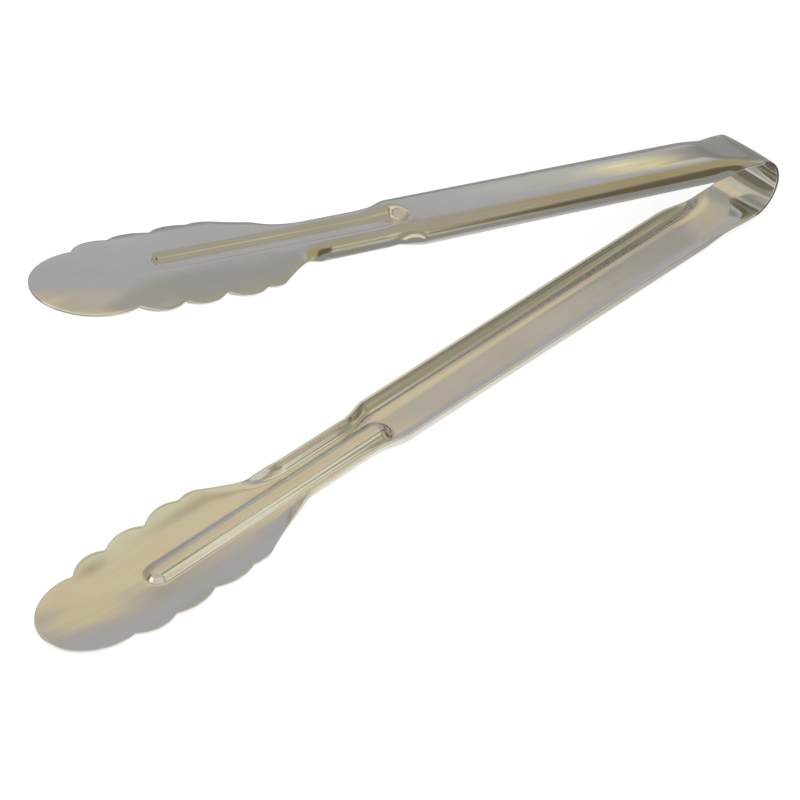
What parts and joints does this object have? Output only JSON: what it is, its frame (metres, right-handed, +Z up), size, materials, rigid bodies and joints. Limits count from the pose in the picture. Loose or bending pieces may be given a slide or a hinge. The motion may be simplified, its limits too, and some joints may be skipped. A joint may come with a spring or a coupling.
{
  "type": "pasta tongs",
  "caption": "Sprung steel tongs pressed from one strip: bow at the back, trough handles, ribbed necks and dished, scalloped gripping heads.",
  "frame": {"origin": "on the resting surface, under the middle of the overall length, on the lower handle's web", "axes": "arms reach along -X from the bow at +X, +Z is up, Y = 0 is the plane of symmetry"},
  "size_m": [0.3, 0.0412, 0.1232],
  "materials": {
    "stainless_strip": "bright stainless steel with a very fine brushed grain along the strip"
  },
  "bodies": {
    "lower_arm": {"lower_arm": "stainless_strip", "spring_bow": "stainless_strip"},
    "upper_arm": {"upper_arm": "stainless_strip"}
  },
  "joints": [
    {"name": "bow_flex", "type": "hinge", "parent": "lower_arm", "child": "upper_arm", "pos_m": [0.1388, 0, 0.0133], "axis": [0, 1, 0], "range_deg": [-23.6, 6], "stiffness_Nm_per_rad": 4, "springref_deg": 1.29, "deforming": ["spring_bow"]}
  ]
}
